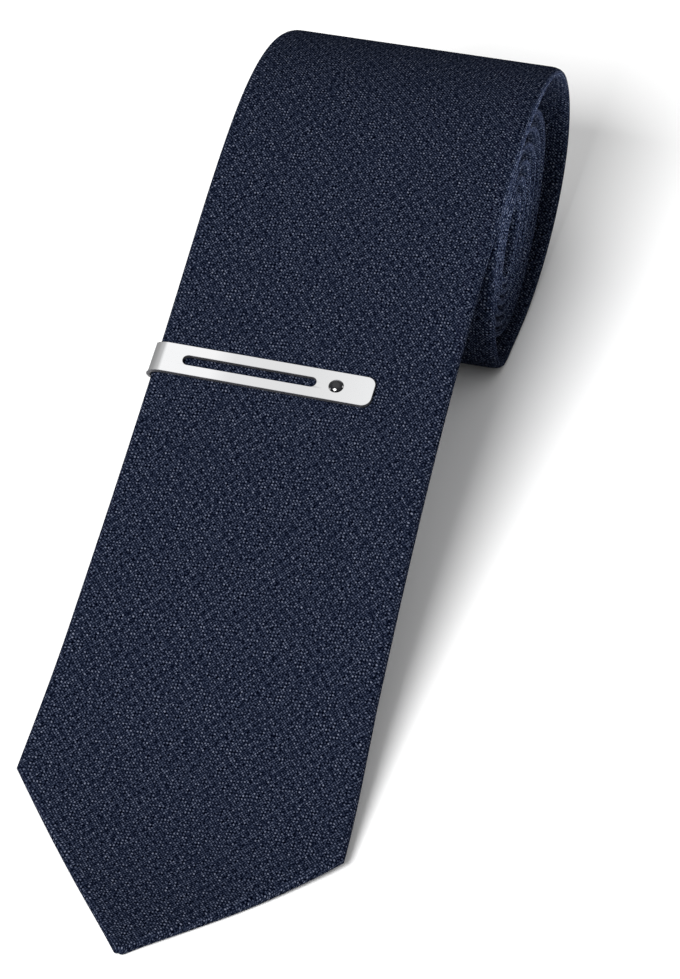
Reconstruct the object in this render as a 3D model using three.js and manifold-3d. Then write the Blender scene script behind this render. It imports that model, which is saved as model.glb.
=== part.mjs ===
import * as THREE from "three";
import { ConvexGeometry } from "three/addons/geometries/ConvexGeometry.js";
import { mergeVertices } from "three/addons/utils/BufferGeometryUtils.js";
import Module from "manifold-3d";

// A necktie, rolled up from its narrow end, with the wide end led down as a ramp to the surface,
// and a slide clip pushed over the wide end from its left edge.
// Millimetres, +Z up, X across the tie, the tip toward -Y, standing on Z = 0.

// Cloth: the folded tie is one padded strip
const bladeWidth = 80;          // widest, across the two corners of the tip
const clothThickness = 2.4;
const seamDepth = 0.6;          // groove where the two back flaps meet
const seamWidth = 3;
const foldRound = 2.6;          // how far the side folds round off
const seamGap = 0.3;            // between the three lengths that are sewn end to end

// Tip: its corners lie at unequal distances, because the point is cut a little askew
const leftCorner = 49.7;
const rightCorner = 39.5;
const tipShift = -1.5;          // the point against the middle of the blade
const tipBulge = 1.2;           // how far the right edge of the tip bows out
const tipBlunt = 0.8;
const slantFade = 100;          // length over which the slant of the corners dies out
const tailPoint = 18;           // length of the point at the narrow end

// Ramp: from the point to the top of the roll, measured level along the surface it lies on
const bladeRun = 246;

// Loops of the strip: how far apart they may lie, how much the cloth may turn from one to the
// next, and how finely their places are looked for
const loopReach = 15;
const loopTurn = 13;            // degrees
const loopStep = 0.5;
const tipLoopCount = 7;
const tailLoopCount = 4;

// Roll: an oval core, the turns wound round it, and a loose outer turn
const turns = 6;                // round the core, inside the outer turn
const coreLong = 17;            // across the innermost turn's middle line
const coreShort = 8;
const coreLean = 37;            // degrees that the core leans back from upright
const gapTop = 0.9;             // between one turn and the next, on each side of the roll
const gapBack = 2.9;
const gapLow = 0.6;
const gapFront = 0.6;
const looseTop = 12.6;          // slack between the outer turn and the bundle inside it
const looseBack = 8.5;
const restLength = 14;          // flat stretch that the roll stands on

// Clip: one bent strip of steel, front plate, bend and spring leaf
const clipDistance = 164.6;     // from the point of the tie, along the blade
const clipTurn = 1.2;           // degrees, how far the clip sits askew
const clipWidth = 8.2;
const clipEnd = 54;             // from the tie's left edge to the end of the front plate
const clipSheet = 1;
const clipGap = 0.4;
const clipCorner = 2.3;
const clipEdge = 0.18;          // chamfer on the long edges
const leafLength = 45;
const leafSheet = 0.8;
const leafPinch = 0.25;         // how far the leaf bows away from the cloth
const leafFlare = 1.6;          // how far its end turns away to take the cloth in
const leafLipLength = 4;        // length of that turned end
const slotStart = 7.0;          // from the tie's left edge
const slotLength = 33;
const slotWidth = 2.7;
const stonePlace = 44.9;
const stoneWidth = 3.1;
const stoneSeat = 0.7;
const stoneCrown = 0.5;         // height of the cut stone over the plate
const stoneGap = 0.15;
const planMargin = 1;           // how far a cutting shape stands out past what it cuts
const planStraight = 6;         // length cut to exact width before the rounded corners

// Section of the folded strip, once round from the groove on its underside.
// side: -1 at the left fold, 1 at the right; inset: share of foldRound or of the groove's width;
// depth: share of the thickness, with the groove's own depth added where groove is 1.
const section = [
  { side: 0, inset: 0, depth: -0.5, groove: 1 },
  { side: 0, inset: -0.5, depth: -0.5, groove: 0 },
  { side: -1, inset: 1, depth: -0.5, groove: 0 },
  { side: -1, inset: 0.3, depth: -0.37, groove: 0 },
  { side: -1, inset: 0, depth: -0.1, groove: 0 },
  { side: -1, inset: 0, depth: 0.14, groove: 0 },
  { side: -1, inset: 0.3, depth: 0.37, groove: 0 },
  { side: -1, inset: 1, depth: 0.5, groove: 0 },
  { side: 1, inset: 1, depth: 0.5, groove: 0 },
  { side: 1, inset: 0.3, depth: 0.37, groove: 0 },
  { side: 1, inset: 0, depth: 0.14, groove: 0 },
  { side: 1, inset: 0, depth: -0.1, groove: 0 },
  { side: 1, inset: 0.3, depth: -0.37, groove: 0 },
  { side: 1, inset: 1, depth: -0.5, groove: 0 },
  { side: 0, inset: 0.5, depth: -0.5, groove: 0 },
];

// Cut stone from its table down. reach: share of its half width; rise: share of stoneCrown over
// the plate; sides: corners of the ring; turned: share of the step from one corner to the next.
const facets = [
  { reach: 0.58, rise: 1.00, sides: 8, turned: 0 },
  { reach: 0.82, rise: 0.62, sides: 8, turned: 0.5 },
  { reach: 1.00, rise: 0.12, sides: 16, turned: 0 },
  { reach: 1.00, rise: -0.12, sides: 16, turned: 0 },
];
const stoneBack = { reach: 0.8, sides: 16 };

// Width of the tie. at: share of its length; half: half width; shift: middle line to the right,
// both as shares of half the blade's width. Past the blade the right edge stays in line.
const taper = [
  { at: 0.00, half: 1.02, shift: 0.035 },
  { at: 0.04, half: 1.00, shift: 0.035 },
  { at: 0.077, half: 0.945, shift: 0.020 },
  { at: 0.14, half: 0.900, shift: 0.000 },
  { at: 0.228, half: 0.896, shift: -0.012 },
  { at: 0.292, half: 0.840, shift: -0.012 },
  { at: 0.365, half: 0.795, shift: -0.005 },
  { at: 0.437, half: 0.710, shift: 0.030 },
  { at: 0.54, half: 0.560, shift: 0.180 },
  { at: 0.66, half: 0.450, shift: 0.290 },
  { at: 0.84, half: 0.450, shift: 0.290 },
  { at: 1.00, half: 0.520, shift: 0.220 },
];

// Side view of the blade. run: share of bladeRun; rise: share of the roll's height; slope: degrees
const ramp = [
  { run: 0.00, rise: 0.000, slope: 0 },
  { run: 0.07, rise: 0.000, slope: 0 },
  { run: 0.349, rise: 0.248, slope: 21.3 },
  { run: 0.70, rise: 0.714, slope: 19.8 },
  { run: 0.9175, rise: 0.963, slope: 13 },
  { run: 1.00, rise: 1.000, slope: 0 },
];

// Where the outer turn is highest, furthest back and lowest, as shares of its depth or height
const outerTurn = { top: 0.303, back: 0.443, low: 0.27 };

// Where the lengths are sewn end to end, as shares of the tie's length
const seams = { neck: 0.52, tail: 0.76 };

// Value of one column of a table, on a smooth curve through its rows
function along(rows, key, name, at) {
  const last = rows.length - 1;
  let i = 0;
  while (i < last - 1 && rows[i + 1][key] < at) i += 1;
  const slopeAt = (k) => {
    const before = rows[Math.max(0, k - 1)];
    const after = rows[Math.min(last, k + 1)];
    return (after[name] - before[name]) / (after[key] - before[key]);
  };
  const start = rows[i];
  const end = rows[i + 1];
  const step = end[key] - start[key];
  const t = THREE.MathUtils.clamp((at - start[key]) / step, 0, 1);
  const t2 = t * t;
  const t3 = t2 * t;
  return (2 * t3 - 3 * t2 + 1) * start[name] + (3 * t2 - 2 * t3) * end[name]
    + (t3 - 2 * t2 + t) * step * slopeAt(i) + (t3 - t2) * step * slopeAt(i + 1);
}

// Spiral round the core, from the front of the outer turn inward, clockwise. Each point is
// given by the direction that the cloth faces there, so the turns keep their distance.
class Spiral extends THREE.Curve {
  constructor() {
    super();
    this.wound = turns + 0.25;
    this.centre = new THREE.Vector2();
    const side = (gap) => clothThickness + gap;
    this.mean = (side(gapTop) + side(gapBack) + side(gapLow) + side(gapFront)) / 4;
    this.backward = (gapBack - gapFront) / 2;
    this.upward = (gapTop - gapLow) / 2;
    this.flatten = (gapBack + gapFront - gapTop - gapLow) / 4;
  }

  // Distance of the cloth from the centre, square to its face, and how fast that changes
  reachAt(angle, left) {
    const turned = angle - THREE.MathUtils.degToRad(90 - coreLean);
    const core = Math.hypot(coreLong * Math.cos(turned), coreShort * Math.sin(turned)) / 2;
    const coreRate = (coreShort ** 2 - coreLong ** 2) * Math.sin(2 * turned) / (8 * core);
    const pitch = this.mean + this.backward * Math.cos(angle) + this.upward * Math.sin(angle)
      + this.flatten * Math.cos(2 * angle);
    const pitchRate = this.upward * Math.cos(angle) - this.backward * Math.sin(angle)
      - 2 * this.flatten * Math.sin(2 * angle);
    return {
      reach: core + left * pitch,
      rate: coreRate + left * pitchRate + pitch / (2 * Math.PI),
    };
  }

  getPoint(t, target = new THREE.Vector2()) {
    const done = this.wound * t;
    const angle = Math.PI - 2 * Math.PI * done;
    const { reach, rate } = this.reachAt(angle, this.wound - done);
    return target.set(Math.cos(angle) * reach - Math.sin(angle) * rate,
      Math.sin(angle) * reach + Math.cos(angle) * rate).add(this.centre);
  }
}

// The spiral set down on the outer turn, and the extremes of that turn's middle line
function rollParts() {
  const spiral = new Spiral();
  const reachOf = (degrees, done) => spiral.reachAt(THREE.MathUtils.degToRad(degrees),
    spiral.wound - done).reach;
  const floor = clothThickness / 2;
  spiral.centre.y = floor + clothThickness + gapLow + reachOf(-90, 0.75);
  const high = spiral.centre.y + reachOf(90, 0.25) + clothThickness + looseTop;
  const depth = reachOf(180, 0) + reachOf(0, 0.5) + clothThickness + looseBack;
  spiral.centre.x = reachOf(180, 0) - outerTurn.top * depth;
  const far = (1 - outerTurn.top) * depth;
  return {
    spiral,
    top: new THREE.Vector2(0, high),
    back: new THREE.Vector2(far, THREE.MathUtils.lerp(floor, high, outerTurn.back)),
    low: new THREE.Vector2((outerTurn.low - outerTurn.top) * depth, floor),
    front: spiral.getPoint(0),
  };
}

// Quarter of an ellipse that leaves one extreme square and reaches the next one square
function quarter(from, to, startDegrees) {
  const sideways = startDegrees % 180 === 0;
  const centre = sideways ? new THREE.Vector2(to.x, from.y) : new THREE.Vector2(from.x, to.y);
  const start = THREE.MathUtils.degToRad(startDegrees);
  return new THREE.EllipseCurve(centre.x, centre.y, Math.abs(to.x - from.x),
    Math.abs(to.y - from.y), start, start - Math.PI / 2, true);
}

// Middle line of the whole tie seen from the side, x being Y and y being Z
function middleLine() {
  const path = new THREE.CurvePath();
  const roll = rollParts();
  const rise = roll.top.y - clothThickness / 2;
  const place = (row) => new THREE.Vector2((row.run - 1) * bladeRun,
    clothThickness / 2 + row.rise * rise);
  for (let i = 0; i + 1 < ramp.length; i += 1) {
    const start = place(ramp[i]);
    const end = place(ramp[i + 1]);
    const reach = start.distanceTo(end) / 3;
    const pull = (row, sign) => {
      const angle = THREE.MathUtils.degToRad(row.slope);
      return new THREE.Vector2(Math.cos(angle), Math.sin(angle)).multiplyScalar(sign * reach);
    };
    path.add(new THREE.CubicBezierCurve(start, start.clone().add(pull(ramp[i], 1)),
      end.clone().add(pull(ramp[i + 1], -1)), end));
  }
  const lowBack = new THREE.Vector2(roll.low.x + restLength / 2, roll.low.y);
  const lowFront = new THREE.Vector2(roll.low.x - restLength / 2, roll.low.y);
  path.add(quarter(roll.top, roll.back, 90));
  path.add(quarter(roll.back, lowBack, 0));
  path.add(new THREE.LineCurve(lowBack, lowFront));
  path.add(quarter(lowFront, roll.front, -90));
  roll.spiral.arcLengthDivisions = 2000;
  path.add(roll.spiral);
  return path;
}

const path = middleLine();
const tieLength = path.getLength();
const pathJoints = path.getCurveLengths();
const half = (s) => (bladeWidth / 2) * along(taper, "at", "half", s / tieLength);
const shift = (s) => (bladeWidth / 2) * along(taper, "at", "shift", s / tieLength);

// Place, direction and face normal of the middle line at a distance from the point
function frameAt(s) {
  const u = THREE.MathUtils.clamp(s / tieLength, 0, 1);
  const point = path.getPoint(u);
  const nearEnd = 2e-4;
  const tangent = path.getTangent(THREE.MathUtils.clamp(u, nearEnd, 1 - nearEnd));
  return {
    point: new THREE.Vector3(0, point.x, point.y),
    forward: new THREE.Vector3(0, tangent.x, tangent.y),
    normal: new THREE.Vector3(0, -tangent.y, tangent.x),
  };
}

// One closed loop of the strip's section between two edge points, each given by x and distance
function loopAt(left, right) {
  const middle = (left.x + right.x) / 2;
  const reach = (right.x - left.x) / 2;
  const round = Math.min(foldRound, reach * 0.45);
  const groove = Math.min(seamWidth, reach * 0.5);
  return section.map((row) => {
    const inset = row.side === 0 ? row.inset * groove : -row.side * row.inset * round;
    const x = middle + row.side * reach + inset;
    const share = (x - left.x) / (right.x - left.x);
    const frame = frameAt(THREE.MathUtils.lerp(left.s, right.s, share));
    const depth = row.depth * clothThickness + row.groove * seamDepth;
    return frame.point.addScaledVector(frame.normal, depth).setX(x);
  });
}

// Loops of the pointed end of the blade, from its blunt point to its corners
function tipLoops(steps) {
  const corner = (leftCorner + rightCorner) / 2;
  const loops = [];
  for (let i = 0; i < steps; i += 1) {
    const v = i / steps;
    const reach = tipBlunt + v * (half(corner) - tipBlunt);
    const bow = tipBulge * Math.sin(Math.PI * v);
    const middle = shift(corner) + (1 - v) * tipShift;
    loops.push(loopAt({ x: middle - reach, s: v * leftCorner },
      { x: middle + reach + bow, s: v * rightCorner }));
  }
  return loops;
}

// Distances at which the strip gets a loop: closer where it bends more, and always at both ends
// of the flat stretch that the roll stands on
function stations(from, to) {
  const turnLimit = THREE.MathUtils.degToRad(loopTurn);
  const restEnds = pathJoints.slice(ramp.length, ramp.length + 2);
  const found = [from];
  let last = frameAt(from);
  let lastS = from;
  for (let s = from + loopStep; s < to - loopStep; s += loopStep) {
    const restEnd = restEnds.find((end) => end > s - loopStep && end <= s);
    const here = frameAt(restEnd ?? s);
    const turned = here.forward.angleTo(last.forward) >= turnLimit;
    if (restEnd || turned || s - lastS >= loopReach) {
      found.push(restEnd ?? s);
      last = here;
      lastS = s;
    }
  }
  found.push(to);
  return found;
}

function stripLoops(from, to) {
  const corner = (leftCorner + rightCorner) / 2;
  return stations(from, to).map((s) => {
    const fade = THREE.MathUtils.clamp(1 - (s - corner) / slantFade, 0, 1);
    const slant = fade * fade * (rightCorner - leftCorner) / 2;
    const left = { x: shift(s) - half(s), s: s - slant };
    const right = { x: shift(s) + half(s), s: s + slant };
    return loopAt(left, right);
  });
}

// Loops of the pointed narrow end
function tailLoops(steps) {
  const start = tieLength - tailPoint;
  const loops = [];
  for (let i = 1; i <= steps; i += 1) {
    const v = i / steps;
    const s = start + v * tailPoint;
    const reach = tipBlunt + (1 - v) * (half(start) - tipBlunt);
    loops.push(loopAt({ x: shift(start) - reach, s }, { x: shift(start) + reach, s }));
  }
  return loops;
}

// Closed skin over a row of loops, with a fan at each end
function skin(loops) {
  const count = loops[0].length;
  const positions = [];
  const indices = [];
  loops.forEach((loop) => loop.forEach((p) => positions.push(p.x, p.y, p.z)));
  for (let i = 0; i + 1 < loops.length; i += 1) {
    for (let j = 0; j < count; j += 1) {
      const a = i * count + j;
      const b = i * count + (j + 1) % count;
      indices.push(a, b, b + count, a, b + count, a + count);
    }
  }
  [0, loops.length - 1].forEach((end, side) => {
    const centre = new THREE.Vector3();
    loops[end].forEach((p) => centre.addScaledVector(p, 1 / count));
    const hub = positions.length / 3;
    positions.push(centre.x, centre.y, centre.z);
    for (let j = 0; j < count; j += 1) {
      const a = end * count + j;
      const b = end * count + (j + 1) % count;
      if (side === 0) indices.push(hub, b, a);
      else indices.push(hub, a, b);
    }
  });
  const geometry = new THREE.BufferGeometry();
  geometry.setAttribute("position", new THREE.Float32BufferAttribute(positions, 3));
  geometry.setIndex(indices);
  geometry.computeVertexNormals();
  return geometry;
}

function named(name, geometry, color, roughness, metalness) {
  const material = new THREE.MeshStandardMaterial({ color, roughness, metalness });
  const mesh = new THREE.Mesh(geometry, material);
  mesh.name = name;
  return mesh;
}

// Blade, neck and tail
const tipEnd = (leftCorner + rightCorner) / 2;
const neckSeam = seams.neck * tieLength;
const tailSeam = seams.tail * tieLength;
const bladeLoops = [...tipLoops(tipLoopCount), ...stripLoops(tipEnd, neckSeam - seamGap / 2)];
const neckLoops = stripLoops(neckSeam + seamGap / 2, tailSeam - seamGap / 2);
const tailStrip = stripLoops(tailSeam + seamGap / 2, tieLength - tailPoint);
const blade = named("tie_blade", skin(bladeLoops), 0x262c3f, 0.9, 0);
const neck = named("tie_neck", skin(neckLoops), 0x262c3f, 0.9, 0);
const tailSkin = skin([...tailStrip, ...tailLoops(tailLoopCount)]);
const tail = named("tie_tail", tailSkin, 0x262c3f, 0.9, 0);

// Solids for joining and cutting
const wasm = await Module();
wasm.setup();

function solid(geometry) {
  const bare = geometry.clone();
  bare.deleteAttribute("normal");
  bare.deleteAttribute("uv");
  const merged = mergeVertices(bare, 1e-4);
  return new wasm.Manifold(new wasm.Mesh({
    numProp: 3,
    vertProperties: new Float32Array(merged.attributes.position.array),
    triVerts: new Uint32Array(merged.index.array),
  }));
}

function surface(manifold) {
  const mesh = manifold.getMesh();
  const geometry = new THREE.BufferGeometry();
  geometry.setAttribute("position", new THREE.Float32BufferAttribute(mesh.vertProperties, 3));
  geometry.setIndex(Array.from(mesh.triVerts));
  geometry.computeVertexNormals();
  return geometry;
}

// Clip, in its own frame: x from the tie's left edge to the right, y up the blade, z off the face.
// Its bend is half an oval round the side fold, from bendX to the left
const clearance = clothThickness / 2 + clipGap;
const bendX = foldRound;
const bendReach = foldRound + clipGap;

// Side view of the bent strip: front plate, half-oval bend, bowed leaf with a flared end
function clipProfile() {
  const outer = clearance + clipSheet;
  const leafEnd = bendX + leafLength;
  const leafLip = leafEnd - leafLipLength;
  const bow = -clearance - 2 * leafPinch;
  const pull = leafLength * 0.35;
  const shape = new THREE.Shape();
  shape.moveTo(clipEnd, clearance);
  shape.lineTo(bendX, clearance);
  shape.absellipse(bendX, 0, bendReach, clearance, Math.PI / 2, 3 * Math.PI / 2, false);
  shape.bezierCurveTo(bendX + pull, bow, leafLip - pull, bow, leafLip, -clearance);
  shape.quadraticCurveTo(leafLip + leafLipLength / 2, -clearance,
    leafEnd, -clearance - leafFlare);
  shape.lineTo(leafEnd - leafSheet * 0.4, -clearance - leafFlare - leafSheet);
  shape.quadraticCurveTo(leafLip + leafLipLength * 0.35, -clearance - leafSheet,
    leafLip, -clearance - leafSheet);
  shape.bezierCurveTo(leafLip - pull, bow - leafSheet, bendX + pull, bow - leafSheet,
    bendX, -outer);
  shape.absellipse(bendX, 0, bendReach + clipSheet, outer, 3 * Math.PI / 2, Math.PI / 2, true);
  shape.lineTo(clipEnd, outer);
  return shape;
}

// Plan of a leaf: square at the bend, rounded corners at the free end, cut as a prism
function planPrism(end, corner, bottom, top) {
  const side = clipWidth / 2 + planMargin;
  const edge = clipWidth / 2;
  const start = bendX - bendReach - clipSheet - planMargin;
  const straight = end - corner - planStraight;
  const shape = new THREE.Shape();
  shape.moveTo(start, -side);
  shape.lineTo(straight, -side);
  shape.lineTo(straight, -edge);
  shape.lineTo(end - corner, -edge);
  shape.absarc(end - corner, -edge + corner, corner, -Math.PI / 2, 0, false);
  shape.absarc(end - corner, edge - corner, corner, 0, Math.PI / 2, false);
  shape.lineTo(straight, edge);
  shape.lineTo(straight, side);
  shape.lineTo(start, side);
  const prism = new THREE.ExtrudeGeometry(shape, {
    depth: top - bottom, bevelEnabled: false, curveSegments: 8,
  });
  return solid(prism.translate(0, 0, bottom));
}

function slotPrism() {
  const round = slotWidth / 2;
  const shape = new THREE.Shape();
  shape.absarc(slotStart + round, 0, round, Math.PI / 2, 3 * Math.PI / 2, false);
  shape.absarc(slotStart + slotLength - round, 0, round, -Math.PI / 2, Math.PI / 2, false);
  const prism = new THREE.ExtrudeGeometry(shape, {
    depth: clearance + clipSheet, bevelEnabled: false, curveSegments: 10,
  });
  return solid(prism.translate(0, 0, clearance / 2));
}

function clipBar() {
  const bent = new THREE.ExtrudeGeometry(clipProfile(), {
    depth: clipWidth - 2 * clipEdge, curveSegments: 10, bevelSegments: 1,
    bevelSize: clipEdge, bevelThickness: clipEdge, bevelOffset: -clipEdge,
  });
  bent.rotateX(Math.PI / 2).translate(0, clipWidth / 2 - clipEdge, 0);
  const deep = 3 * (clearance + clipSheet) + leafFlare;
  const plan = planPrism(clipEnd, clipCorner, -0.05, deep)
    .add(planPrism(bendX + leafLength, clipWidth * 0.4, -deep, 0.05));
  const seat = new THREE.CylinderGeometry(stoneWidth / 2 + stoneGap, stoneWidth / 2 + stoneGap,
    clipSheet, 24);
  seat.rotateX(Math.PI / 2);
  seat.translate(stonePlace, 0, clearance + clipSheet - stoneSeat + clipSheet / 2);
  return surface(solid(bent).intersect(plan).subtract(slotPrism()).subtract(solid(seat)));
}

// Cut stone with a flat back: octagonal table, two rows of crown facets, straight girdle
function cutStone() {
  const radius = stoneWidth / 2;
  const floor = clearance + clipSheet - stoneSeat + stoneGap;
  const plate = clearance + clipSheet;
  const points = [];
  const addRing = (reach, height, sides, turned) => {
    for (let i = 0; i < sides; i += 1) {
      const angle = ((i + turned) / sides) * 2 * Math.PI;
      points.push(new THREE.Vector3(stonePlace + reach * radius * Math.cos(angle),
        reach * radius * Math.sin(angle), height));
    }
  };
  facets.forEach((row) => {
    addRing(row.reach, plate + row.rise * stoneCrown, row.sides, row.turned);
  });
  addRing(stoneBack.reach, floor, stoneBack.sides, 0);
  return new ConvexGeometry(points);
}

// The clip sits on the blade, square to its face, with its bend round the left edge
const seatFrame = frameAt(clipDistance);
const clip = new THREE.Group();
const across = new THREE.Vector3(1, 0, 0);
clip.quaternion.setFromRotationMatrix(
  new THREE.Matrix4().makeBasis(across, seatFrame.forward, seatFrame.normal));
clip.rotateZ(-THREE.MathUtils.degToRad(clipTurn));
clip.position.copy(seatFrame.point).setX(shift(clipDistance) - half(clipDistance));
clip.add(named("clip_bar", clipBar(), 0xd9dbdf, 0.12, 1));
clip.add(named("clip_stone", cutStone(), 0x101216, 0.08, 0));

// Origin at the middle of the footprint, on the surface that the tie lies on
const group = new THREE.Group();
group.add(blade, neck, tail, clip);
group.updateMatrixWorld(true);
const reach = new THREE.Box3().setFromObject(group);
const middle = reach.getCenter(new THREE.Vector3());
group.position.set(-middle.x, -middle.y, -reach.min.z);

export default group;
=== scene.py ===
import math

import bmesh
import bpy
import numpy as np
from mathutils import Matrix, Vector


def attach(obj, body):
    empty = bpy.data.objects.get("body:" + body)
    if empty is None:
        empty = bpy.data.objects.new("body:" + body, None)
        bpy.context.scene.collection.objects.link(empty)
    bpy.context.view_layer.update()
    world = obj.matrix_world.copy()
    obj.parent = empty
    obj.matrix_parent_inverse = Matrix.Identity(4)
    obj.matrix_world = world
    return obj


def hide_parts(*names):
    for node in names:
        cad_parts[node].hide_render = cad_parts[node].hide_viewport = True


# A melange necktie, rolled up from its narrow end, with a slotted slide clip pushed over the blade.
# Sizes in the dictionaries are millimetres, and mm turns them into the scene's metres.
# The tie runs toward plus Y from the blade's point, in the (Y, Z) plane, and X goes across it.
mm = 0.001
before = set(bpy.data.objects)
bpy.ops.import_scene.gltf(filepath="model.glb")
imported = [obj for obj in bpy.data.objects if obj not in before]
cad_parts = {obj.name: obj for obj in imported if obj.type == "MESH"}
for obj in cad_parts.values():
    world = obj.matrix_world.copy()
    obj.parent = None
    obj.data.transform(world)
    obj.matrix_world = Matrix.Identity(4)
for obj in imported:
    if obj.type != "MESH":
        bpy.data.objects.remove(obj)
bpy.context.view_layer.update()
print("frame loaded:", sorted(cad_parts))

# Side view of the tie: ramp, loose outer turn and spiral

path = {
    "bladeRun": 246,  # level distance from the blade's point to the top of the roll
    "turns": 6.25,  # of the spiral, inside the loose outer turn
    "coreLong": 17,  # oval core, and how far it leans back in degrees
    "coreShort": 8,
    "coreLean": 37,
    "gapTop": 0.9,  # air between neighbouring turns, on each side of the roll
    "gapBack": 2.9,
    "gapLow": 0.6,
    "gapFront": 0.6,
    "looseTop": 12.6,  # air under the loose outer turn
    "looseBack": 8.5,
    "restLength": 14,  # flat that the roll rests on
    "topShare": 0.303,  # where the roll is highest, deepest and lowest, as shares of its size
    "backShare": 0.443,
    "lowShare": 0.27,
    "placeX": -1.40578,  # from the tie's middle and the top of the roll to the frame's origin
    "placeY": 97.24669,
    # share of bladeRun, share of the roll's height, slope in degrees
    "ramp": [
        (0.0, 0.0, 0),
        (0.07, 0.0, 0),
        (0.349, 0.248, 21.3),
        (0.70, 0.714, 19.8),
        (0.9175, 0.963, 13),
        (1.0, 1.0, 0),
    ],
}

tie = {
    "halfWidth": 40,
    "thickness": 2.4,
    "foldRound": 2.6,  # reach of the rounded fold at each side
    "seamDepth": 0.6,  # groove down the back, where the two flaps meet
    "seamWidth": 2.2,
    "foldShare": 0.45,  # most of the half width that fold and groove take where it is narrow
    "seamShare": 0.5,
    "leftCorner": 49.7,  # distance of each corner of the point from its tip
    "rightCorner": 39.5,
    "tipShift": -1.5,
    "tipBulge": 1.2,  # bow of the point's right edge
    "tipBlunt": 0.8,
    "slantFade": 100,  # the rows run aslant at the point and come square over this length
    "tailPoint": 18,
    "neckSeam": 0.52,  # seams between the three lengths, as shares of the tie's length
    "tailSeam": 0.76,
    "seamGap": 0.3,
    "shell": 0.65,  # the cloth itself, folded round a soft filling
    "rowStep": 2.2,
    "mergeWithin": 0.004,  # corners closer than this become one, and shorter edges go
    "dropWithin": 0.002,
    # share of the length, half width and sideways shift, as shares of halfWidth
    "taper": [
        (0.0, 1.02, 0.035),
        (0.04, 1.00, 0.035),
        (0.077, 0.945, 0.020),
        (0.14, 0.900, 0.000),
        (0.228, 0.896, -0.012),
        (0.292, 0.840, -0.012),
        (0.365, 0.795, -0.005),
        (0.437, 0.710, 0.030),
        (0.54, 0.560, 0.180),
        (0.66, 0.450, 0.290),
        (0.84, 0.450, 0.290),
        (1.0, 0.520, 0.220),
    ],
}


def spiralReach(angle, left):
    # distance of the cloth from the roll's centre, square to its face, and its rate
    turned = angle - math.radians(90 - path["coreLean"])
    core = np.hypot(path["coreLong"] * np.cos(turned), path["coreShort"] * np.sin(turned)) / 2
    coreRate = (path["coreShort"] ** 2 - path["coreLong"] ** 2) * np.sin(2 * turned) / (8 * core)
    gaps = [path["gapTop"], path["gapBack"], path["gapLow"], path["gapFront"]]
    mean = tie["thickness"] + sum(gaps) / 4
    backward = (path["gapBack"] - path["gapFront"]) / 2
    upward = (path["gapTop"] - path["gapLow"]) / 2
    flatten = (path["gapBack"] + path["gapFront"] - path["gapTop"] - path["gapLow"]) / 4
    pitch = mean + backward * np.cos(angle) + upward * np.sin(angle) + flatten * np.cos(2 * angle)
    pitchRate = upward * np.cos(angle) - backward * np.sin(angle) - 2 * flatten * np.sin(2 * angle)
    return core + left * pitch, coreRate + left * pitchRate + pitch / (2 * np.pi)


def spiralLine(count=5200):
    # inward from the roll's front side, with the turns already wound counted in done
    done = path["turns"] * np.linspace(0, 1, count)
    angle = np.pi - 2 * np.pi * done
    reach, rate = spiralReach(angle, path["turns"] - done)
    return np.c_[np.cos(angle) * reach - np.sin(angle) * rate,
                 np.sin(angle) * reach + np.cos(angle) * rate]


def quarterLine(start, end, degrees, count=260):
    # quarter of an ellipse, leaving one extreme square and reaching the next one square
    sideways = degrees % 180 == 0
    centre = (end[0], start[1]) if sideways else (start[0], end[1])
    angle = math.radians(degrees) - np.linspace(0, np.pi / 2, count)
    return np.c_[centre[0] + abs(end[0] - start[0]) * np.cos(angle),
                 centre[1] + abs(end[1] - start[1]) * np.sin(angle)]


def rampLine(start, end, count=200):
    # cubic curve between two rows of the ramp
    a, b = np.array(start[:2]), np.array(end[:2])
    pull = np.hypot(*(b - a)) / 3
    lean = [math.radians(row[2]) for row in (start, end)]
    c = a + pull * np.array([math.cos(lean[0]), math.sin(lean[0])])
    d = b - pull * np.array([math.cos(lean[1]), math.sin(lean[1])])
    t = np.linspace(0, 1, count)[:, None]
    return a * (1 - t) ** 3 + 3 * c * t * (1 - t) ** 2 + 3 * d * t * t * (1 - t) + b * t ** 3


def middleLine():
    # whole middle line in the (Y, Z) plane, with the distance along it
    floor = tie["thickness"] / 2
    spiral = spiralLine()
    reach = {degrees: spiralReach(math.radians(degrees), path["turns"] - done)[0]
             for degrees, done in ((180, 0), (90, 0.25), (0, 0.5), (-90, 0.75))}
    centreZ = floor + tie["thickness"] + path["gapLow"] + reach[-90]
    high = centreZ + reach[90] + tie["thickness"] + path["looseTop"]
    deep = reach[180] + reach[0] + tie["thickness"] + path["looseBack"]
    spiral += [reach[180] - path["topShare"] * deep, centreZ]
    top = (0, high)
    back = ((1 - path["topShare"]) * deep, floor + (high - floor) * path["backShare"])
    lowY = (path["lowShare"] - path["topShare"]) * deep
    lowBack = (lowY + path["restLength"] / 2, floor)
    lowFront = (lowY - path["restLength"] / 2, floor)
    rows = [((run - 1) * path["bladeRun"], floor + rise * (high - floor), slope)
            for run, rise, slope in path["ramp"]]
    parts = [rampLine(a, b) for a, b in zip(rows, rows[1:])]
    parts += [quarterLine(top, back, 90), quarterLine(back, lowBack, 0),
              np.array([lowBack, lowFront]), quarterLine(lowFront, tuple(spiral[0]), -90), spiral]
    line = np.vstack([parts[0]] + [p[1:] for p in parts[1:]])
    step = np.hypot(*np.diff(line, axis=0).T)
    line = line[np.r_[True, step > 1e-9]]  # points that coincide would have no direction
    walked = np.r_[0, np.cumsum(np.hypot(*np.diff(line, axis=0).T))]
    heading = np.unwrap(np.arctan2(*np.gradient(line, walked, axis=0).T[::-1]))
    return line, walked, heading


line, walked, heading = middleLine()
tieLength = walked[-1]
print(f"middle line: {tieLength:.1f} mm long")


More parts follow.
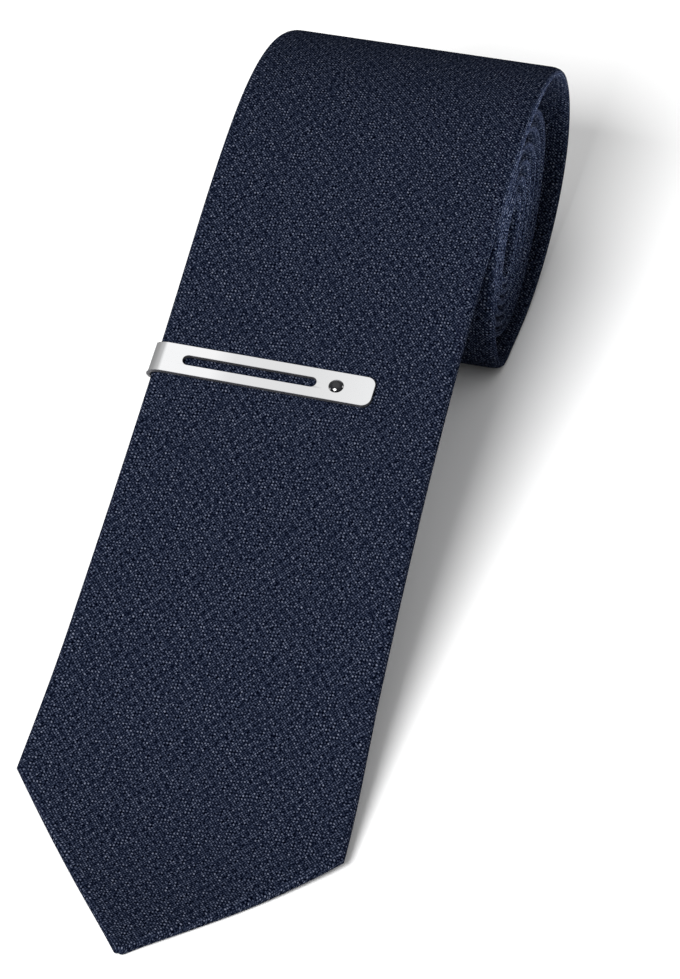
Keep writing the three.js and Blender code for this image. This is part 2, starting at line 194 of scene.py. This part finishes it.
def lineAt(s):
    # point and direction of the middle line, each as (Y, Z)
    y, z = (np.interp(s, walked, line[:, k]) for k in (0, 1))
    turn = np.interp(s, walked, heading)
    return y, z, np.cos(turn), np.sin(turn)


def taperAt(s, column):
    # one column of the taper, on a smooth curve through its rows
    rows = np.array(tie["taper"])
    at, values = rows[:, 0], rows[:, column]
    slopes = np.empty(len(at))
    for k in range(len(at)):
        before, after = max(0, k - 1), min(len(at) - 1, k + 1)
        slopes[k] = (values[after] - values[before]) / (at[after] - at[before])
    share = np.clip(s / tieLength, 0, 1)
    k = np.clip(np.searchsorted(at, share) - 1, 0, len(at) - 2)
    step = at[k + 1] - at[k]
    t = (share - at[k]) / step
    smooth = ((2 * t ** 3 - 3 * t ** 2 + 1) * values[k] + (3 * t ** 2 - 2 * t ** 3) * values[k + 1]
              + (t ** 3 - 2 * t ** 2 + t) * step * slopes[k]
              + (t ** 3 - t ** 2) * step * slopes[k + 1])
    return smooth * tie["halfWidth"]


# Cloth: a flat grid, folded into a strip and carried round the roll

tipEnd = (tie["leftCorner"] + tie["rightCorner"]) / 2

# gentle unevenness of the ramp's face, gone where the cloth is wound or narrow
waver = {
    "height": 0.07,
    "woundAt": 225,
    "woundFade": 60,
    "narrow": 8,
    "narrowFade": 20,
    # two ripples: how long each is along the tie and across it
    "short": (13.1, 11.7),
    "long": (29.0, 17.0),
    "longShare": 0.7,
    "slant": 0.05,
    "starts": (0.6, 1.9),
}


def roundedOff(distance):
    # share of the thickness, at a distance from the end of a point
    nose = min(1, distance / (tie["thickness"] / 2))
    return math.sqrt(1 - (1 - nose) ** 2)


def rowsOfTip():
    # left x, left distance, right x, right distance, thickness share
    rows = []
    # closer together at the blunt point, where the thickness rounds off
    for v in np.r_[0, 0.004, 0.012, 0.026, np.linspace(0.05, 1, 20)[:-1]]:
        wide = tie["tipBlunt"] + v * (taperAt(tipEnd, 1) - tie["tipBlunt"])
        middle = taperAt(tipEnd, 2) + (1 - v) * tie["tipShift"]
        bow = tie["tipBulge"] * math.sin(math.pi * v)
        rows.append((middle - wide, v * tie["leftCorner"], middle + wide + bow,
                     v * tie["rightCorner"], roundedOff(v * tipEnd)))
    return rows


def rowsOfStrip(start, end):
    rows = []
    for s in np.linspace(start, end, round((end - start) / tie["rowStep"]) + 1):
        fade = min(1, max(0, 1 - (s - tipEnd) / tie["slantFade"]))
        slant = fade * fade * (tie["rightCorner"] - tie["leftCorner"]) / 2
        half, shift = taperAt(s, 1), taperAt(s, 2)
        rows.append((shift - half, s - slant, shift + half, s + slant, 1))
    return rows


def rowsOfTail():
    start = tieLength - tie["tailPoint"]
    rows = []
    for v in np.r_[np.linspace(0.1, 0.95, 9), 0.975, 0.99, 1]:
        s = start + v * tie["tailPoint"]
        wide = tie["tipBlunt"] + (1 - v) * (taperAt(start, 1) - tie["tipBlunt"])
        middle = taperAt(start, 2)
        rows.append((middle - wide, s, middle + wide, s, roundedOff((1 - v) * tie["tailPoint"])))
    return rows


def sectionColumns():
    # once across the cut cloth: its side, part of the section, and how far through that part
    face = [("face", v) for v in np.linspace(-1, 1, 25)]
    fold = [("fold", v) for v in np.linspace(0, 1, 9)[1:-1]]
    # closer together toward the groove
    flap = [("flap", v) for v in np.r_[np.linspace(1, 0.12, 8), 0.06, 0.03, 0.0]]
    right = [(1, kind, v) for kind, v in fold + flap]
    left = [(-1, kind, v) for kind, v in reversed(fold + flap)]
    return left + [(0, kind, v) for kind, v in face] + right


def foldCloth(rows):
    # places and cloth coordinates of a grid of rows by columns, in millimetres
    columns = sectionColumns()
    places = np.empty((len(rows), len(columns), 3))
    flat = np.empty((len(rows), len(columns), 2))
    radius = tie["thickness"] / 2
    for j, (leftX, leftS, rightX, rightS, thick) in enumerate(rows):
        middle, reach = (leftX + rightX) / 2, (rightX - leftX) / 2
        ease = min(tie["foldRound"], reach * tie["foldShare"])
        flatReach = reach - ease
        foldArc = math.pi * (ease + radius * thick) / 2
        groove = min(tie["seamWidth"], reach * tie["seamShare"])
        offset, depth, arc = (np.empty(len(columns)) for _ in range(3))
        for i, (side, kind, v) in enumerate(columns):
            if kind == "face":
                offset[i], depth[i], arc[i] = v * flatReach, radius, v * flatReach
            elif kind == "fold":
                offset[i] = side * (flatReach + ease * math.sin(math.pi * v))
                depth[i] = radius * math.cos(math.pi * v)
                arc[i] = side * (flatReach + v * foldArc)
            else:
                offset[i] = side * v * flatReach
                dip = max(0, 1 - v * flatReach / groove)
                depth[i] = -radius + tie["seamDepth"] * dip ** 2
                arc[i] = side * (flatReach + foldArc + (1 - v) * flatReach)
        x = middle + offset
        s = leftS + (rightS - leftS) * (x - leftX) / (rightX - leftX)
        y, z, forwardY, forwardZ = lineAt(s)
        loose = (np.clip((waver["woundAt"] - s) / waver["woundFade"], 0, 1)
                 * np.clip((reach - waver["narrow"]) / waver["narrowFade"], 0, 1))
        (shortS, shortX), (longS, longX) = waver["short"], waver["long"]
        shortStart, longStart = waver["starts"]
        ripple = (np.sin(s / shortS + waver["slant"] * x) * np.cos(x / shortX + shortStart)
                  + waver["longShare"] * np.sin(s / longS - x / longX + longStart))
        depth = depth * thick + loose * waver["height"] * ripple * (depth > 0)
        places[j] = np.c_[x + path["placeX"], y - forwardZ * depth + path["placeY"],
                          z + forwardY * depth]
        flat[j] = np.c_[middle + arc, s]
    return places * mm, flat * mm


def clothPiece(name, rows):
    places, flat = foldCloth(rows)
    rowCount, columnCount = places.shape[:2]
    bm = bmesh.new()
    uv = bm.loops.layers.uv.new("ClothMap")
    bmesh.ops.create_grid(bm, x_segments=columnCount - 1, y_segments=rowCount - 1, size=0.5)
    spots = {v: (round((v.co.y + 0.5) * (rowCount - 1)), round((v.co.x + 0.5) * (columnCount - 1)))
             for v in bm.verts}
    for face in bm.faces:
        face.smooth = True
        for corner in face.loops:
            corner[uv].uv = flat[spots[corner.vert]]
    for v, spot in spots.items():
        v.co = places[spot]
    bmesh.ops.remove_doubles(bm, verts=bm.verts, dist=tie["mergeWithin"] * mm)
    bmesh.ops.dissolve_degenerate(bm, edges=bm.edges, dist=tie["dropWithin"] * mm)
    mesh = bpy.data.meshes.new(name)
    bm.to_mesh(mesh)
    bm.free()
    piece = bpy.data.objects.new(name, mesh)
    bpy.context.scene.collection.objects.link(piece)
    wall = piece.modifiers.new("cloth wall", "SOLIDIFY")
    wall.thickness = tie["shell"] * mm
    wall.offset = -1
    wall.use_rim = True
    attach(piece, "root")
    return piece


neckSeam = tie["neckSeam"] * tieLength
tailSeam = tie["tailSeam"] * tieLength
gap = tie["seamGap"] / 2
bladeRows = rowsOfTip() + rowsOfStrip(tipEnd, neckSeam - gap)
neckRows = rowsOfStrip(neckSeam + gap, tailSeam - gap)
tailRows = rowsOfStrip(tailSeam + gap, tieLength - tie["tailPoint"]) + rowsOfTail()
blade = clothPiece("blade_cloth", bladeRows)
neck = clothPiece("neck_cloth", neckRows)
tail = clothPiece("tail_cloth", tailRows)
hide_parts("tie_blade")
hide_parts("tie_neck")
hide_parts("tie_tail")

# Clip: a flat steel blank, slotted, then bent round the left edge of the blade

clip = {
    "distance": 164.6,  # of its middle from the blade's point
    "turn": 1.2,  # degrees, toward the point at its free end
    "width": 8.2,
    "end": 54,  # reach of the front plate from the blade's edge
    "sheet": 1.0,
    "gap": 0.4,  # air between steel and cloth
    "corner": 2.3,
    "edge": 0.08,  # rounding of the cut edges
    "leafLength": 45,
    "leafSheet": 0.8,
    "leafPinch": 0.25,  # how far the leaf bows away from the cloth
    "leafFlare": 1.6,
    "leafLip": 4,
    "leafCorner": 3.28,
    "slotStart": 7.0,
    "slotLength": 33,
    "slotWidth": 2.7,
    "stonePlace": 44.9,
    "seatWidth": 3.4,
    "seatDepth": 0.7,
    "seatChamfer": 0.14,
    # faces of each rounded part
    "cornerSteps": 18,
    "slotSteps": 24,
    "seatSteps": 48,
    "edgeSteps": 2,
    "bendSteps": 36,
    "leafSteps": 16,
    "lipSteps": 10,
    "mergeWithin": 0.002,
    "cutWithin": 0.001,
    "flatShare": 0.998,  # faces of the flat blank that look this straight up or down are polished
    "sharpAngle": 35,
}


def arcPoints(x, y, radius, start, end, steps):
    angles = np.radians(np.linspace(start, end, steps + 1))
    return [(x + radius * math.cos(a), y + radius * math.sin(a)) for a in angles]


def addSpline(curve, points):
    spline = curve.splines.new("POLY")
    spline.points.add(len(points) - 1)
    for spot, (x, y) in zip(spline.points, points):
        spot.co = (x * mm, y * mm, 0, 1)
    spline.use_cyclic_u = True


# inside of the half-oval bend round the side fold: height, reach and middle
inner = tie["thickness"] / 2 + clip["gap"]
bendReach = tie["foldRound"] + clip["gap"]
bendX = tie["foldRound"]
bendTurns = np.linspace(0, np.pi, 721)
bendPath = np.c_[(bendReach + clip["sheet"] / 2) * np.sin(bendTurns),
                 (inner + clip["sheet"] / 2) * np.cos(bendTurns)]
bendWalked = np.r_[0, np.cumsum(np.hypot(*np.diff(bendPath, axis=0).T))]
bendArc = bendWalked[-1]
leafStraight = clip["leafLength"] - clip["leafLip"]


def clipBlank():
    # flat blank: x is 0 where the bend starts, plus along the front plate, minus along the leaf
    curve = bpy.data.curves.new("clip blank", "CURVE")
    curve.dimensions = "2D"
    curve.fill_mode = "BOTH"
    curve.extrude = (clip["sheet"] / 2 - clip["edge"]) * mm
    curve.bevel_depth = clip["edge"] * mm
    curve.bevel_resolution = clip["edgeSteps"]
    curve.offset = -clip["edge"] * mm
    side, right, left = clip["width"] / 2, clip["end"] - bendX, -bendArc - clip["leafLength"]
    plate, leaf = clip["corner"], clip["leafCorner"]
    outline = []
    for x, y, radius, start in ((right - plate, side - plate, plate, 90),
                                (right - plate, -side + plate, plate, 0),
                                (left + leaf, -side + leaf, leaf, -90),
                                (left + leaf, side - leaf, leaf, 180)):
        outline += arcPoints(x, y, radius, start, start - 90, clip["cornerSteps"])
    addSpline(curve, outline)
    radius = clip["slotWidth"] / 2
    near = clip["slotStart"] - bendX + radius
    far = clip["slotStart"] - bendX + clip["slotLength"] - radius
    addSpline(curve, arcPoints(near, 0, radius, 90, 270, clip["slotSteps"])
              + arcPoints(far, 0, radius, -90, 90, clip["slotSteps"]))
    flatBlank = bpy.data.objects.new("clip blank", curve)
    bpy.context.scene.collection.objects.link(flatBlank)
    mesh = bpy.data.meshes.new_from_object(
        flatBlank.evaluated_get(bpy.context.evaluated_depsgraph_get()))
    bpy.data.objects.remove(flatBlank)
    return mesh


def seatCutter():
    # round cutter for the stone's blind seat, wider at the plate's face for a small chamfer
    bm = bmesh.new()
    top, radius, chamfer = clip["sheet"] / 2, clip["seatWidth"] / 2, clip["seatChamfer"]
    low, high = top - clip["seatDepth"], top + chamfer
    outline = [(0, low), (radius, low), (radius, top - chamfer), (radius + 2 * chamfer, high),
               (0, high)]
    place = Vector((clip["stonePlace"] - bendX, 0, 0)) * mm
    spots = [bm.verts.new(Vector((r, 0, z)) * mm + place) for r, z in outline]
    edges = [bm.edges.new(pair) for pair in zip(spots, spots[1:])]
    bmesh.ops.spin(bm, geom=spots + edges, cent=place, axis=(0, 0, 1), angle=2 * math.pi,
                   steps=clip["seatSteps"], use_merge=True, use_duplicate=False)
    bmesh.ops.remove_doubles(bm, verts=bm.verts, dist=clip["cutWithin"] * mm)
    bmesh.ops.recalc_face_normals(bm, faces=bm.faces)
    mesh = bpy.data.meshes.new("seat cutter")
    bm.to_mesh(mesh)
    bm.free()
    cutter = bpy.data.objects.new("seat cutter", mesh)
    bpy.context.scene.collection.objects.link(cutter)
    return cutter


def leafDrop(d):
    # how far the leaf's inner face stands off, at a distance from the bend
    t = min(1, d / leafStraight)
    bow = 2 * clip["leafPinch"] * 3 * t * (1 - t)  # cubic, with both handles at twice the pinch
    past = max(0, d - leafStraight) / clip["leafLip"]
    return bow + clip["leafFlare"] * past ** 2


def bentPlace(x, y, up):
    # from the flat blank (millimetres, up from its inner face) to the clip's own frame
    if x >= 0:
        return bendX + x, y, inner + up
    if x > -bendArc:
        turn = np.interp(-x, bendWalked, bendTurns)
        up = up * (1 + (clip["leafSheet"] / clip["sheet"] - 1) * turn / math.pi)
        return bendX - (bendReach + up) * math.sin(turn), y, (inner + up) * math.cos(turn)
    d = -bendArc - x
    return bendX + d, y, -inner - up * clip["leafSheet"] / clip["sheet"] - leafDrop(d)


def placeOnBlade():
    # the clip's own frame, set on the blade's left edge and turned a little
    edgeX = taperAt(clip["distance"], 2) - taperAt(clip["distance"], 1)
    y, z, forwardY, forwardZ = lineAt(clip["distance"])
    onBlade = Matrix(((1, 0, 0), (0, forwardY, -forwardZ), (0, forwardZ, forwardY))).to_4x4()
    onBlade.translation = Vector((edgeX + path["placeX"], y + path["placeY"], z)) * mm
    return onBlade @ Matrix.Rotation(-math.radians(clip["turn"]), 4, "Z")


def cutSeat(piece):
    # the flat blank with the stone's seat cut out, as a new mesh
    cutter = seatCutter()
    seat = piece.modifiers.new("stone seat", "BOOLEAN")
    seat.operation = "DIFFERENCE"
    seat.object = cutter
    seat.solver = "EXACT"
    graph = bpy.context.evaluated_depsgraph_get()
    cut = bpy.data.meshes.new_from_object(piece.evaluated_get(graph))
    piece.modifiers.clear()
    bpy.data.objects.remove(cutter)
    return cut


def putInOrder(bm):
    # the seat's cut numbers its corners, edges and faces afresh each run
    for items in (bm.verts, bm.edges, bm.faces):
        places = {item: sum((v.co for v in getattr(item, "verts", [item])), Vector())
                  for item in items}
        order = sorted(items, key=lambda item: tuple(places[item]))
        items.sort(key={item: k for k, item in enumerate(order)}.get)


def clipPiece():
    mesh = clipBlank()
    bm = bmesh.new()
    bm.from_mesh(mesh)
    bmesh.ops.remove_doubles(bm, verts=bm.verts, dist=clip["mergeWithin"] * mm)
    bmesh.ops.recalc_face_normals(bm, faces=bm.faces)
    bm.to_mesh(mesh)
    bm.free()
    piece = bpy.data.objects.new("clip_steel", mesh)
    bpy.context.scene.collection.objects.link(piece)
    bm = bmesh.new()
    bm.from_mesh(cutSeat(piece))
    putInOrder(bm)
    # rows of edges across the blank, so that it can bend
    cuts = [-bendArc * k / clip["bendSteps"] for k in range(clip["bendSteps"] + 1)]
    cuts += [-bendArc - leafStraight * k / clip["leafSteps"]
             for k in range(1, clip["leafSteps"] + 1)]
    cuts += [-bendArc - leafStraight - clip["leafLip"] * k / clip["lipSteps"]
             for k in range(1, clip["lipSteps"])]
    for x in cuts:
        bmesh.ops.bisect_plane(bm, geom=bm.verts[:] + bm.edges[:] + bm.faces[:],
                               dist=clip["cutWithin"] * mm, plane_co=(x * mm, 0, 0),
                               plane_no=(1, 0, 0))
    bm.normal_update()
    for face in bm.faces:
        face.smooth = True
        # flat faces take the polished finish; edges, walls and the seat's chamfer take the second,
        # dark with painted shade
        face.material_index = 0 if abs(face.normal.z) > clip["flatShare"] else 1
    toWorld = placeOnBlade()
    for v in bm.verts:
        up = v.co.z / mm + clip["sheet"] / 2
        v.co = toWorld @ (Vector(bentPlace(v.co.x / mm, v.co.y / mm, up)) * mm)
    sharp = math.radians(clip["sharpAngle"])
    for edge in bm.edges:
        edge.smooth = not edge.is_manifold or edge.calc_face_angle() < sharp
    bmesh.ops.recalc_face_normals(bm, faces=bm.faces)
    bm.to_mesh(mesh)
    bm.free()
    even = piece.modifiers.new("even shading", "WEIGHTED_NORMAL")
    even.keep_sharp = True
    even.weight = 100
    mesh.validate()
    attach(piece, "root")
    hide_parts("clip_bar")
    print(f"clip_steel: {len(mesh.polygons)} faces")
    return piece


clipSteel = clipPiece()
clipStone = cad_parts["clip_stone"]  # the stone is good as it comes, and gets its finish below


class Wire:
    # one socket of a node tree, so that shader maths reads as an expression
    def __init__(self, finish, socket):
        self.finish = finish
        self.socket = socket

    def maths(self, operation, *values):
        return self.finish.node("ShaderNodeMath", {"operation": operation}, dict(enumerate(values)))

    def __add__(self, other):
        return self.maths("ADD", self, other)

    def __radd__(self, other):
        return self.maths("ADD", other, self)

    def __sub__(self, other):
        return self.maths("SUBTRACT", self, other)

    def __rsub__(self, other):
        return self.maths("SUBTRACT", other, self)

    def __mul__(self, other):
        return self.maths("MULTIPLY", self, other)

    def __rmul__(self, other):
        return self.maths("MULTIPLY", other, self)

    def __truediv__(self, other):
        return self.maths("DIVIDE", self, other)

    def __pow__(self, other):
        return self.maths("POWER", self, other)

    def __mod__(self, other):
        return self.maths("FLOORED_MODULO", self, other)

    def floor(self):
        return self.maths("FLOOR", self)

    def above(self, other):
        return self.maths("GREATER_THAN", self, other)

    def output(self, k):
        # another output of the same node
        return Wire(self.finish, self.socket.node.outputs[k])


class Finish:
    # a material with its Principled shader, and the one way to add a node to it
    def __init__(self, name, **shaderValues):
        self.material = bpy.data.materials.new(name)
        self.material.use_nodes = True
        self.tree = self.material.node_tree
        self.shader = self.tree.nodes["Principled BSDF"]
        for socketName, value in shaderValues.items():
            self.shader.inputs[socketName.replace("_", " ")].default_value = value

    def node(self, kind, settings=None, sockets=None, output=0):
        made = self.tree.nodes.new(kind)
        for key, value in (settings or {}).items():
            if key == "stops":
                ramp = made.color_ramp
                for k, (place, colour) in enumerate(value):
                    stop = ramp.elements[k] if k < 2 else ramp.elements.new(place)
                    stop.position = place
                    stop.color = (*colour, 1)
            else:
                setattr(made, key, value)
        for key, value in (sockets or {}).items():
            if isinstance(value, Wire):
                self.tree.links.new(value.socket, made.inputs[key])
            else:
                made.inputs[key].default_value = value
        return Wire(self, made.outputs[output])

    def feed(self, socketName, wire):
        self.tree.links.new(wire.socket, self.shader.inputs[socketName])

    def objectPlace(self):
        # Object coordinates, in metres
        return self.node("ShaderNodeTexCoord", output=3)

    def cloud(self, place, scale, detail=2.0):
        # soft noise about one half
        return self.node("ShaderNodeTexNoise", None,
                         {"Vector": place, "Scale": scale, "Detail": detail})

    def bump(self, height, strength, distance):
        self.feed("Normal", self.node("ShaderNodeBump", None, {
            "Strength": strength, "Distance": distance * mm, "Height": height}))

    def blend(self, share, first, second):
        # colour mix: 0 gives the first, 1 the second
        return self.node("ShaderNodeMix", {"data_type": "RGBA"},
                         {0: share, 6: (*first, 1), 7: (*second, 1)}, output=2)


weave = {
    # threads per millimetre across and along the tie, for each of the two sets on the bias
    "warp": (1.231, 1.068),
    "weft": (1.361, -1.106),
    "repeat": 4,  # threads 0 and 1 are of lighter yarn, 2 and 3 of darker
    "lightUpTo": 1.5,
    "wander": 1.5,  # how far the threads stray from straight, in threads
    "wanderScale": 110,
    "roundness": 1.4,
    "dip": 0.4,  # how far a thread sinks at both ends of a float
    "weftHeight": 0.85,
    "bump": 0.35,
    "bumpHeight": 0.10,
    # parts of the tone, before the ramp turns it into a colour
    "base": 0.675,
    "check": 0.12,  # warp floats lighter, weft floats darker
    "flicker": 1.5,  # patches where one set of threads stands out over the other
    "flickerScale": 1300,
    "lightWarp": 0.21,
    "lightWeft": 0.30,
    "slub": 0.20,  # thick and thin places along a thread
    "slubStretch": 0.45,
    "speck": 0.42,
    "hair": 2.4,
    "hairScale": 2500,
    # painted shade: the gaps between threads darken in colour, for the shade that falls into them
    "paintedGapShade": 0.80,  # how far the gaps between threads darken
    "gain": 0.74,
    "depth": 0.09,  # darkens the whole cloth
    "brightness": 0.62,
    # yarn colours and painted shade: the painted shade in the gaps between threads first, the
    # palest fibres second, then those between
    "yarnsAndGapShade": [
        (0.0, (0.0004, 0.0010, 0.0045)),
        (1.0, (0.22, 0.24, 0.31)),
        (0.21, (0.0070, 0.0105, 0.0250)),
        (0.42, (0.0300, 0.0390, 0.0680)),
        (0.67, (0.090, 0.105, 0.155)),
    ],
}


def clothFinish():
    made = Finish("navy melange weave", Roughness=0.92, Specular_IOR_Level=0.0)
    place = made.node("ShaderNodeUVMap", {"uv_map": "ClothMap"})
    parts = made.node("ShaderNodeSeparateXYZ", None, {0: place})
    across, length = parts, parts.output(1)

    def noise(at, scale, detail=1.0):
        return made.cloud(at, scale, detail) - 0.5

    def spot(*values):
        return made.node("ShaderNodeCombineXYZ", None, dict(enumerate(values)))

    def threads(perMillimetre, sway):
        # counts the threads of one set across the cloth
        x, y = (count / mm for count in perMillimetre)
        return across * x + length * y + sway * weave["wander"]

    # each noise reads the cloth at a place of its own, so that none repeats another
    warpAt = threads(weave["warp"], noise(place, weave["wanderScale"], 2.0))
    weftAt = threads(weave["weft"], noise(spot(length, across, 0.3), weave["wanderScale"], 2.0))
    warpCell, weftCell = warpAt.floor(), weftAt.floor()
    warpIn, weftIn = warpAt - warpCell, weftAt - weftCell
    warpUp = ((warpCell + weftCell) % 2).above(0.5)

    def pick(whenWarp, whenWeft):
        return whenWeft + warpUp * (whenWarp - whenWeft)

    # rounded threads, each dipping under its neighbours at both ends of a float
    warpRidge, weftRidge = ((1 - (inThread * 2 - 1) ** 2) ** weave["roundness"]
                            for inThread in (warpIn, weftIn))
    dip = weave["dip"]
    height = pick(warpRidge * (1 - dip + dip * weftRidge),
                  weave["weftHeight"] * weftRidge * (1 - dip + dip * warpRidge))
    # colour of the yarn on top: lighter or darker, slubbed along its length, flecked
    lightWarp, lightWeft = (1 - (cell % weave["repeat"]).above(weave["lightUpTo"])
                            for cell in (warpCell, weftCell))
    apart = 7.31  # keeps neighbouring threads' slubs unlike each other
    slub = pick(noise(spot(warpCell * apart, weftAt * weave["slubStretch"], 3.0), 1.0),
                noise(spot(weftCell * apart, warpAt * weave["slubStretch"], 17.0), 1.0))
    # each cell against two of its neighbours, so that no larger blotches arise
    own, beside, below = (made.node("ShaderNodeTexWhiteNoise", {"noise_dimensions": "2D"},
                                    {"Vector": spot(warpCell + i, weftCell + j)})
                          for i, j in ((0, 0), (1, 0), (0, 1)))
    speck = own - (beside + below) * 0.5
    hair = noise(place, weave["hairScale"])
    patch = noise(spot(length, across, 0.7), weave["flickerScale"])
    tone = (weave["base"] + (warpUp * 2 - 1) * (weave["check"] + patch * weave["flicker"])
            + pick(lightWarp * weave["lightWarp"], lightWeft * weave["lightWeft"])
            + slub * weave["slub"] + speck * weave["speck"] + hair * weave["hair"])
    # painted shade: the tone darkens where the threads lie low, in the gaps and where a thread dips
    # at the end of a float
    shade = tone * (1 - weave["paintedGapShade"] + height * weave["paintedGapShade"]) * weave["gain"] - weave["depth"]
    yarnsAndGapShade = [(at, tuple(c * weave["brightness"] for c in colour)) for at, colour in weave["yarnsAndGapShade"]]
    made.feed("Base Color", made.node("ShaderNodeValToRGB", {"stops": yarnsAndGapShade}, {0: shade}))
    made.bump(height, weave["bump"], weave["bumpHeight"])
    return made.material


steel = {
    "roughness": 0.06,
    "cloud": 0.06,
    "cloudScale": 420,
    "scratches": (60, 2400, 2400),  # drawn out along the plate
    "bump": 0.04,
    "bumpHeight": 0.01,
    "tint": (0.985, 0.99, 1),
    # painted reflection: brightness along the plate, lighter at both ends and darker in the middle:
    # place in metres, its two ends first, and brightness
    "tones": [(-0.032, 0.93), (0.020, 0.86), (-0.023, 0.92), (-0.018, 0.78), (0.0, 0.75)],
    # painted shade: dark colours for the steel's edges and walls
    "edgeShadeTones": [(0.10, 0.10, 0.11), (0.20, 0.20, 0.21)],
    "edgeRoughness": 0.56,
    "edgeCloud": 0.10,
    "edgeScale": 700,
}


def steelFinish():
    made = Finish("polished steel with painted reflection", Metallic=1.0)
    place = made.objectPlace()
    cloud = made.cloud(place, steel["cloudScale"], 3.0)
    made.feed("Roughness", steel["roughness"] + (cloud - 0.5) * steel["cloud"])
    # painted reflection: the base colour follows the tones along the plate
    start, end = steel["tones"][0][0], steel["tones"][1][0]
    stops = [((x - start) / (end - start), [tone * tint for tint in steel["tint"]])
             for x, tone in steel["tones"]]
    along = made.node("ShaderNodeSeparateXYZ", None, {0: place})
    made.feed("Base Color", made.node("ShaderNodeValToRGB", {"stops": stops},
                                      {0: (along - start) / (end - start)}))
    stretch = made.node("ShaderNodeMapping", None, {"Vector": place, "Scale": steel["scratches"]})
    made.bump(made.cloud(stretch, 1.0), steel["bump"], steel["bumpHeight"])
    return made.material


def shadedEdgeFinish():
    # painted shade: the steel's cut edges and walls are dark in colour, for the lines of shade
    # along them, and rougher than the polished faces
    made = Finish("steel edge with painted shade", Metallic=1.0)
    cloud = made.cloud(made.objectPlace(), steel["edgeScale"])
    made.feed("Base Color", made.blend(cloud, *steel["edgeShadeTones"]))
    made.feed("Roughness", steel["edgeRoughness"] + cloud * steel["edgeCloud"])
    return made.material


stone = {
    "roughness": 0.03,
    "tones": [(0.002, 0.002, 0.003), (0.008, 0.008, 0.011)],
    "cloudScale": 900,
}


def stoneFinish():
    made = Finish("dark cut crystal", Roughness=stone["roughness"], Specular_IOR_Level=0.5, IOR=1.5)
    cloud = made.cloud(made.objectPlace(), stone["cloudScale"])
    made.feed("Base Color", made.blend(cloud, *stone["tones"]))
    return made.material


clothLook = clothFinish()
for piece in (blade, neck, tail):
    piece.data.materials.append(clothLook)
for finish in (steelFinish(), shadedEdgeFinish()):
    clipSteel.data.materials.append(finish)
clipStone.data.materials.clear()
clipStone.data.materials.append(stoneFinish())
print("materials made")

studio = {
    # metres, and the floor lies a hair under the cloth
    "floorSize": 4.0,
    "floorDrop": 0.0002,
    "floorTone": (0.93, 0.93, 0.93, 1),
    # brightness of the room from the horizon (0) to straight up (1), those two first
    "sky": [(0.0, 0.26), (1.0, 1.0), (0.55, 0.36), (0.82, 0.56), (0.92, 1.0)],
    # soft key from the front, and a low card that lights the roll's open end
    "lights": [
        {"name": "key", "power": 103.0, "size": 0.90, "spread": 180,
         "from": (-0.28, -2.05, 1.60), "to": (0, 0, 0)},
        {"name": "card", "power": 0.075, "size": 0.02, "spread": 40,
         "from": (0.20, 0.07, 0.012), "to": (0.03, 0.10, 0.067)},
    ],
}


def makeFloor():
    bm = bmesh.new()
    bmesh.ops.create_grid(bm, x_segments=8, y_segments=8, size=studio["floorSize"] / 2)
    mesh = bpy.data.meshes.new("floor")
    bm.to_mesh(mesh)
    bm.free()
    floor = bpy.data.objects.new("floor", mesh)
    mesh.transform(Matrix.Translation((0, 0, -studio["floorDrop"])))
    bpy.context.scene.collection.objects.link(floor)
    made = Finish("white surface", Roughness=0.9, Specular_IOR_Level=0.1)
    made.shader.inputs["Base Color"].default_value = studio["floorTone"]
    mesh.materials.append(made.material)


def makeLights():
    world = bpy.data.worlds.new("soft room")
    bpy.context.scene.world = world
    world.use_nodes = True
    tree = world.node_tree
    sky = tree.nodes["Background"]
    coords = tree.nodes.new("ShaderNodeTexCoord")
    parts = tree.nodes.new("ShaderNodeSeparateXYZ")
    ramp = tree.nodes.new("ShaderNodeValToRGB")
    for k, (place, bright) in enumerate(studio["sky"]):
        stop = ramp.color_ramp.elements[k] if k < 2 else ramp.color_ramp.elements.new(place)
        stop.position = place
        stop.color = (bright, bright, bright, 1)
    tree.links.new(coords.outputs["Generated"], parts.inputs[0])
    tree.links.new(parts.outputs["Z"], ramp.inputs[0])
    tree.links.new(ramp.outputs[0], sky.inputs["Color"])
    for row in studio["lights"]:
        light = bpy.data.lights.new(row["name"], "AREA")
        light.energy, light.size = row["power"], row["size"]
        light.spread = math.radians(row["spread"])
        lamp = bpy.data.objects.new(row["name"], light)
        bpy.context.scene.collection.objects.link(lamp)
        lamp.location = row["from"]
        aim = Vector(row["to"]) - Vector(row["from"])
        lamp.rotation_euler = aim.to_track_quat("-Z", "Y").to_euler()


view = {
    # metres, with the angles in degrees and the lens in millimetres
    "place": (0.29493371, -1.08042746, 0.88588932),
    "azimuth": 14.7626,
    "elevation": 37.7197,
    "lens": 218.2687,
    "sensor": 36,
    "near": 0.05,
    "far": 20,
}


def makeCamera():
    a, e = math.radians(view["azimuth"]), math.radians(view["elevation"])
    back = Vector((math.sin(a) * math.cos(e), -math.cos(a) * math.cos(e), math.sin(e)))
    data = bpy.data.cameras.new("camera")
    data.lens = view["lens"]
    data.sensor_width = view["sensor"]
    data.clip_start, data.clip_end = view["near"], view["far"]
    camera = bpy.data.objects.new("camera", data)
    camera.location = view["place"]
    camera.rotation_euler = (-back).to_track_quat("-Z", "Y").to_euler()
    bpy.context.scene.collection.objects.link(camera)
    bpy.context.scene.camera = camera


makeFloor()
makeLights()
makeCamera()
bpy.context.scene.view_settings.view_transform = "Standard"
print("floor, light and camera set")
